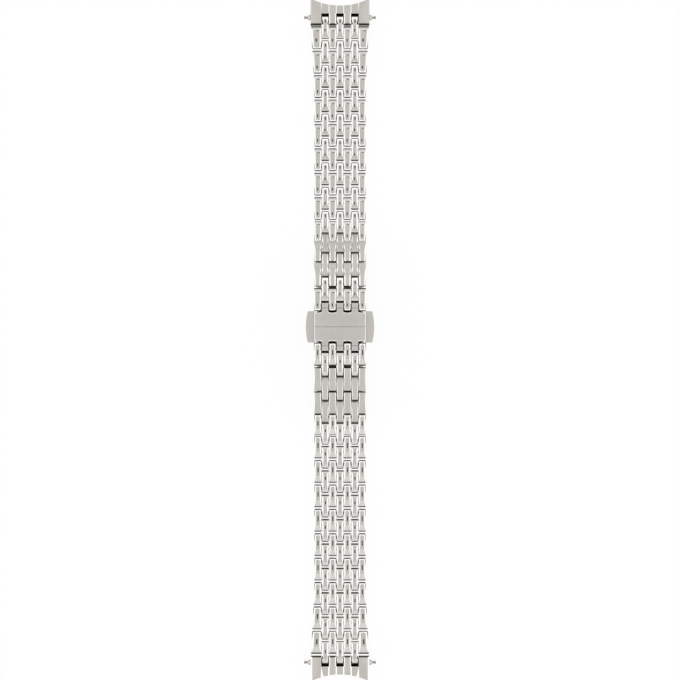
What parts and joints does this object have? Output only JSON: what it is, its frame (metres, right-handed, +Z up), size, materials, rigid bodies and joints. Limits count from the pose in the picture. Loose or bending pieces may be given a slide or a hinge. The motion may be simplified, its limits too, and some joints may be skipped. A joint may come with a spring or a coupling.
{
  "type": "link watch bracelet",
  "caption": "Tapered steel watch bracelet of waisted links on cross pins, with curved end links, spring bars and a folding push-button butterfly clasp.",
  "frame": {"origin": "middle of the bracelet's whole length and width, on the table that it lies on", "axes": "+Y along the bracelet towards the short side's end link, +X across it, +Z up out of its decorative side"},
  "size_m": [0.0174, 0.1644, 0.0083],
  "materials": {
    "link_steel": "satin tops with polished flanks",
    "clasp_steel": "fine satin",
    "button_steel": "satin",
    "spring_steel": "drawn"
  },
  "bodies": {
    "clasp": {"clasp_base": "clasp_steel", "lock_spring": "spring_steel"},
    "button_left": {"button_left": "button_steel"},
    "button_right": {"button_right": "button_steel"},
    "arm_short": {"arm_short": "clasp_steel"},
    "arm_long": {"arm_long": "clasp_steel"},
    "short_row_01": {"short_row_01": "link_steel"},
    "short_row_02": {"short_row_02": "link_steel"},
    "short_row_03": {"short_row_03": "link_steel"},
    "short_row_04": {"short_row_04": "link_steel"},
    "short_row_05": {"short_row_05": "link_steel"},
    "short_row_06": {"short_row_06": "link_steel"},
    "short_row_07": {"short_row_07": "link_steel"},
    "short_row_08": {"short_row_08": "link_steel"},
    "short_row_09": {"short_row_09": "link_steel"},
    "short_row_10": {"short_row_10": "link_steel"},
    "short_row_11": {"short_row_11": "link_steel"},
    "short_row_12": {"short_row_12": "link_steel"},
    "short_row_13": {"short_row_13": "link_steel"},
    "short_row_14": {"short_row_14": "link_steel"},
    "short_row_15": {"short_row_15": "link_steel"},
    "short_row_16": {"short_row_16": "link_steel"},
    "short_row_17": {"short_row_17": "link_steel"},
    "short_row_18": {"short_row_18": "link_steel"},
    "short_row_19": {"short_row_19": "link_steel"},
    "short_row_20": {"short_row_20": "link_steel"},
    "short_row_21": {"short_row_21": "link_steel"},
    "short_row_22": {"short_row_22": "link_steel"},
    "short_row_23": {"short_row_23": "link_steel"},
    "short_row_24": {"short_row_24": "link_steel"},
    "end_link_short": {"end_link_short": "link_steel", "spring_bar_short": "spring_steel"},
    "long_row_01": {"long_row_01": "link_steel"},
    "long_row_02": {"long_row_02": "link_steel"},
    "long_row_03": {"long_row_03": "link_steel"},
    "long_row_04": {"long_row_04": "link_steel"},
    "long_row_05": {"long_row_05": "link_steel"},
    "long_row_06": {"long_row_06": "link_steel"},
    "long_row_07": {"long_row_07": "link_steel"},
    "long_row_08": {"long_row_08": "link_steel"},
    "long_row_09": {"long_row_09": "link_steel"},
    "long_row_10": {"long_row_10": "link_steel"},
    "long_row_11": {"long_row_11": "link_steel"},
    "long_row_12": {"long_row_12": "link_steel"},
    "long_row_13": {"long_row_13": "link_steel"},
    "long_row_14": {"long_row_14": "link_steel"},
    "long_row_15": {"long_row_15": "link_steel"},
    "long_row_16": {"long_row_16": "link_steel"},
    "long_row_17": {"long_row_17": "link_steel"},
    "long_row_18": {"long_row_18": "link_steel"},
    "long_row_19": {"long_row_19": "link_steel"},
    "long_row_20": {"long_row_20": "link_steel"},
    "long_row_21": {"long_row_21": "link_steel"},
    "long_row_22": {"long_row_22": "link_steel"},
    "long_row_23": {"long_row_23": "link_steel"},
    "long_row_24": {"long_row_24": "link_steel"},
    "long_row_25": {"long_row_25": "link_steel"},
    "long_row_26": {"long_row_26": "link_steel"},
    "end_link_long": {"end_link_long": "link_steel", "spring_bar_long": "spring_steel"}
  },
  "joints": [
    {"name": "button_left_press", "type": "slide", "parent": "clasp", "child": "button_left", "axis": [1, 0, 0], "range_m": [0, 0.0007], "stiffness_N_per_m": 400, "springref_m": -0.0005},
    {"name": "button_right_press", "type": "slide", "parent": "clasp", "child": "button_right", "axis": [-1, 0, 0], "range_m": [0, 0.0007], "stiffness_N_per_m": 400, "springref_m": -0.0005},
    {"name": "arm_short_fold", "type": "hinge", "parent": "clasp", "child": "arm_short", "pos_m": [0, 0.02163, 0.0011], "axis": [-1, 0, 0], "range_deg": [0, 155]},
    {"name": "short_row_01_pin", "type": "hinge", "parent": "arm_short", "child": "short_row_01", "pos_m": [0, 0.00793, 0.00728], "axis": [1, 0, 0], "range_deg": [0, 25]},
    {"name": "short_row_02_pin", "type": "hinge", "parent": "short_row_01", "child": "short_row_02", "pos_m": [0, 0.01088, 0.00728], "axis": [1, 0, 0], "range_deg": [0, 25]},
    {"name": "short_row_03_pin", "type": "hinge", "parent": "short_row_02", "child": "short_row_03", "pos_m": [0, 0.01383, 0.00707], "axis": [1, 0, 0], "range_deg": [0, 25]},
    {"name": "short_row_04_pin", "type": "hinge", "parent": "short_row_03", "child": "short_row_04", "pos_m": [0, 0.01672, 0.00651], "axis": [1, 0, 0], "range_deg": [0, 25]},
    {"name": "short_row_05_pin", "type": "hinge", "parent": "short_row_04", "child": "short_row_05", "pos_m": [0, 0.01951, 0.00555], "axis": [1, 0, 0], "range_deg": [0, 25]},
    {"name": "short_row_06_pin", "type": "hinge", "parent": "short_row_05", "child": "short_row_06", "pos_m": [0, 0.02212, 0.00416], "axis": [1, 0, 0], "range_deg": [0, 25]},
    {"name": "short_row_07_pin", "type": "hinge", "parent": "short_row_06", "child": "short_row_07", "pos_m": [0, 0.02438, 0.00227], "axis": [1, 0, 0], "range_deg": [-35, 15]},
    {"name": "short_row_08_pin", "type": "hinge", "parent": "short_row_07", "child": "short_row_08", "pos_m": [0, 0.02715, 0.00126], "axis": [-1, 0, 0], "range_deg": [-15, 35]},
    {"name": "short_row_09_pin", "type": "hinge", "parent": "short_row_08", "child": "short_row_09", "pos_m": [0, 0.03008, 0.00095], "axis": [1, 0, 0], "range_deg": [-35, 15]},
    {"name": "short_row_10_pin", "type": "hinge", "parent": "short_row_09", "child": "short_row_10", "pos_m": [0, 0.03303, 0.00095], "axis": [-1, 0, 0], "range_deg": [-15, 35]},
    {"name": "short_row_11_pin", "type": "hinge", "parent": "short_row_10", "child": "short_row_11", "pos_m": [0, 0.03598, 0.00095], "axis": [1, 0, 0], "range_deg": [-35, 15]},
    {"name": "short_row_12_pin", "type": "hinge", "parent": "short_row_11", "child": "short_row_12", "pos_m": [0, 0.03893, 0.00095], "axis": [-1, 0, 0], "range_deg": [-15, 35]},
    {"name": "short_row_13_pin", "type": "hinge", "parent": "short_row_12", "child": "short_row_13", "pos_m": [0, 0.04188, 0.00095], "axis": [1, 0, 0], "range_deg": [-35, 15]},
    {"name": "short_row_14_pin", "type": "hinge", "parent": "short_row_13", "child": "short_row_14", "pos_m": [0, 0.04483, 0.00095], "axis": [-1, 0, 0], "range_deg": [-15, 35]},
    {"name": "short_row_15_pin", "type": "hinge", "parent": "short_row_14", "child": "short_row_15", "pos_m": [0, 0.04778, 0.00095], "axis": [1, 0, 0], "range_deg": [-35, 15]},
    {"name": "short_row_16_pin", "type": "hinge", "parent": "short_row_15", "child": "short_row_16", "pos_m": [0, 0.05073, 0.00095], "axis": [-1, 0, 0], "range_deg": [-15, 35]},
    {"name": "short_row_17_pin", "type": "hinge", "parent": "short_row_16", "child": "short_row_17", "pos_m": [0, 0.05368, 0.00095], "axis": [1, 0, 0], "range_deg": [-35, 15]},
    {"name": "short_row_18_pin", "type": "hinge", "parent": "short_row_17", "child": "short_row_18", "pos_m": [0, 0.05663, 0.00095], "axis": [-1, 0, 0], "range_deg": [-15, 35]},
    {"name": "short_row_19_pin", "type": "hinge", "parent": "short_row_18", "child": "short_row_19", "pos_m": [0, 0.05958, 0.00095], "axis": [1, 0, 0], "range_deg": [-35, 15]},
    {"name": "short_row_20_pin", "type": "hinge", "parent": "short_row_19", "child": "short_row_20", "pos_m": [0, 0.06253, 0.00095], "axis": [-1, 0, 0], "range_deg": [-15, 35]},
    {"name": "short_row_21_pin", "type": "hinge", "parent": "short_row_20", "child": "short_row_21", "pos_m": [0, 0.06548, 0.00095], "axis": [1, 0, 0], "range_deg": [-35, 15]},
    {"name": "short_row_22_pin", "type": "hinge", "parent": "short_row_21", "child": "short_row_22", "pos_m": [0, 0.06843, 0.00105], "axis": [-1, 0, 0], "range_deg": [-15, 35]},
    {"name": "short_row_23_pin", "type": "hinge", "parent": "short_row_22", "child": "short_row_23", "pos_m": [0, 0.07137, 0.0013], "axis": [1, 0, 0], "range_deg": [-35, 15]},
    {"name": "short_row_24_pin", "type": "hinge", "parent": "short_row_23", "child": "short_row_24", "pos_m": [0, 0.07427, 0.00185], "axis": [-1, 0, 0], "range_deg": [-15, 35]},
    {"name": "end_link_short_pin", "type": "hinge", "parent": "short_row_24", "child": "end_link_short", "pos_m": [0, 0.07713, 0.00255], "axis": [1, 0, 0], "range_deg": [-25, 15]},
    {"name": "arm_long_fold", "type": "hinge", "parent": "clasp", "child": "arm_long", "pos_m": [0, -0.01537, 0.0011], "axis": [1, 0, 0], "range_deg": [0, 155]},
    {"name": "long_row_01_pin", "type": "hinge", "parent": "arm_long", "child": "long_row_01", "pos_m": [0, -0.00167, 0.00728], "axis": [-1, 0, 0], "range_deg": [0, 25]},
    {"name": "long_row_02_pin", "type": "hinge", "parent": "long_row_01", "child": "long_row_02", "pos_m": [0, -0.00461, 0.00717], "axis": [-1, 0, 0], "range_deg": [0, 25]},
    {"name": "long_row_03_pin", "type": "hinge", "parent": "long_row_02", "child": "long_row_03", "pos_m": [0, -0.00754, 0.00676], "axis": [-1, 0, 0], "range_deg": [0, 25]},
    {"name": "long_row_04_pin", "type": "hinge", "parent": "long_row_03", "child": "long_row_04", "pos_m": [0, -0.01041, 0.0061], "axis": [-1, 0, 0], "range_deg": [0, 25]},
    {"name": "long_row_05_pin", "type": "hinge", "parent": "long_row_04", "child": "long_row_05", "pos_m": [0, -0.01322, 0.00519], "axis": [-1, 0, 0], "range_deg": [0, 25]},
    {"name": "long_row_06_pin", "type": "hinge", "parent": "long_row_05", "child": "long_row_06", "pos_m": [0, -0.01591, 0.00399], "axis": [-1, 0, 0], "range_deg": [0, 25]},
    {"name": "long_row_07_pin", "type": "hinge", "parent": "long_row_06", "child": "long_row_07", "pos_m": [0, -0.01856, 0.0027], "axis": [-1, 0, 0], "range_deg": [-35, 15]},
    {"name": "long_row_08_pin", "type": "hinge", "parent": "long_row_07", "child": "long_row_08", "pos_m": [0, -0.0213, 0.00159], "axis": [1, 0, 0], "range_deg": [-15, 35]},
    {"name": "long_row_09_pin", "type": "hinge", "parent": "long_row_08", "child": "long_row_09", "pos_m": [0, -0.02418, 0.00098], "axis": [-1, 0, 0], "range_deg": [-35, 15]},
    {"name": "long_row_10_pin", "type": "hinge", "parent": "long_row_09", "child": "long_row_10", "pos_m": [0, -0.02713, 0.00095], "axis": [1, 0, 0], "range_deg": [-15, 35]},
    {"name": "long_row_11_pin", "type": "hinge", "parent": "long_row_10", "child": "long_row_11", "pos_m": [0, -0.03008, 0.00095], "axis": [-1, 0, 0], "range_deg": [-35, 15]},
    {"name": "long_row_12_pin", "type": "hinge", "parent": "long_row_11", "child": "long_row_12", "pos_m": [0, -0.03303, 0.00095], "axis": [1, 0, 0], "range_deg": [-15, 35]},
    {"name": "long_row_13_pin", "type": "hinge", "parent": "long_row_12", "child": "long_row_13", "pos_m": [0, -0.03598, 0.00095], "axis": [-1, 0, 0], "range_deg": [-35, 15]},
    {"name": "long_row_14_pin", "type": "hinge", "parent": "long_row_13", "child": "long_row_14", "pos_m": [0, -0.03893, 0.00095], "axis": [1, 0, 0], "range_deg": [-15, 35]},
    {"name": "long_row_15_pin", "type": "hinge", "parent": "long_row_14", "child": "long_row_15", "pos_m": [0, -0.04188, 0.00095], "axis": [-1, 0, 0], "range_deg": [-35, 15]},
    {"name": "long_row_16_pin", "type": "hinge", "parent": "long_row_15", "child": "long_row_16", "pos_m": [0, -0.04483, 0.00095], "axis": [1, 0, 0], "range_deg": [-15, 35]},
    {"name": "long_row_17_pin", "type": "hinge", "parent": "long_row_16", "child": "long_row_17", "pos_m": [0, -0.04778, 0.00095], "axis": [-1, 0, 0], "range_deg": [-35, 15]},
    {"name": "long_row_18_pin", "type": "hinge", "parent": "long_row_17", "child": "long_row_18", "pos_m": [0, -0.05073, 0.00095], "axis": [1, 0, 0], "range_deg": [-15, 35]},
    {"name": "long_row_19_pin", "type": "hinge", "parent": "long_row_18", "child": "long_row_19", "pos_m": [0, -0.05368, 0.00095], "axis": [-1, 0, 0], "range_deg": [-35, 15]},
    {"name": "long_row_20_pin", "type": "hinge", "parent": "long_row_19", "child": "long_row_20", "pos_m": [0, -0.05663, 0.00095], "axis": [1, 0, 0], "range_deg": [-15, 35]},
    {"name": "long_row_21_pin", "type": "hinge", "parent": "long_row_20", "child": "long_row_21", "pos_m": [0, -0.05958, 0.00095], "axis": [-1, 0, 0], "range_deg": [-35, 15]},
    {"name": "long_row_22_pin", "type": "hinge", "parent": "long_row_21", "child": "long_row_22", "pos_m": [0, -0.06253, 0.00095], "axis": [1, 0, 0], "range_deg": [-15, 35]},
    {"name": "long_row_23_pin", "type": "hinge", "parent": "long_row_22", "child": "long_row_23", "pos_m": [0, -0.06548, 0.00095], "axis": [-1, 0, 0], "range_deg": [-35, 15]},
    {"name": "long_row_24_pin", "type": "hinge", "parent": "long_row_23", "child": "long_row_24", "pos_m": [0, -0.06843, 0.00105], "axis": [1, 0, 0], "range_deg": [-15, 35]},
    {"name": "long_row_25_pin", "type": "hinge", "parent": "long_row_24", "child": "long_row_25", "pos_m": [0, -0.07137, 0.0013], "axis": [-1, 0, 0], "range_deg": [-35, 15]},
    {"name": "long_row_26_pin", "type": "hinge", "parent": "long_row_25", "child": "long_row_26", "pos_m": [0, -0.07427, 0.00185], "axis": [1, 0, 0], "range_deg": [-15, 35]},
    {"name": "end_link_long_pin", "type": "hinge", "parent": "long_row_26", "child": "end_link_long", "pos_m": [0, -0.07713, 0.00255], "axis": [-1, 0, 0], "range_deg": [-25, 15]}
  ]
}
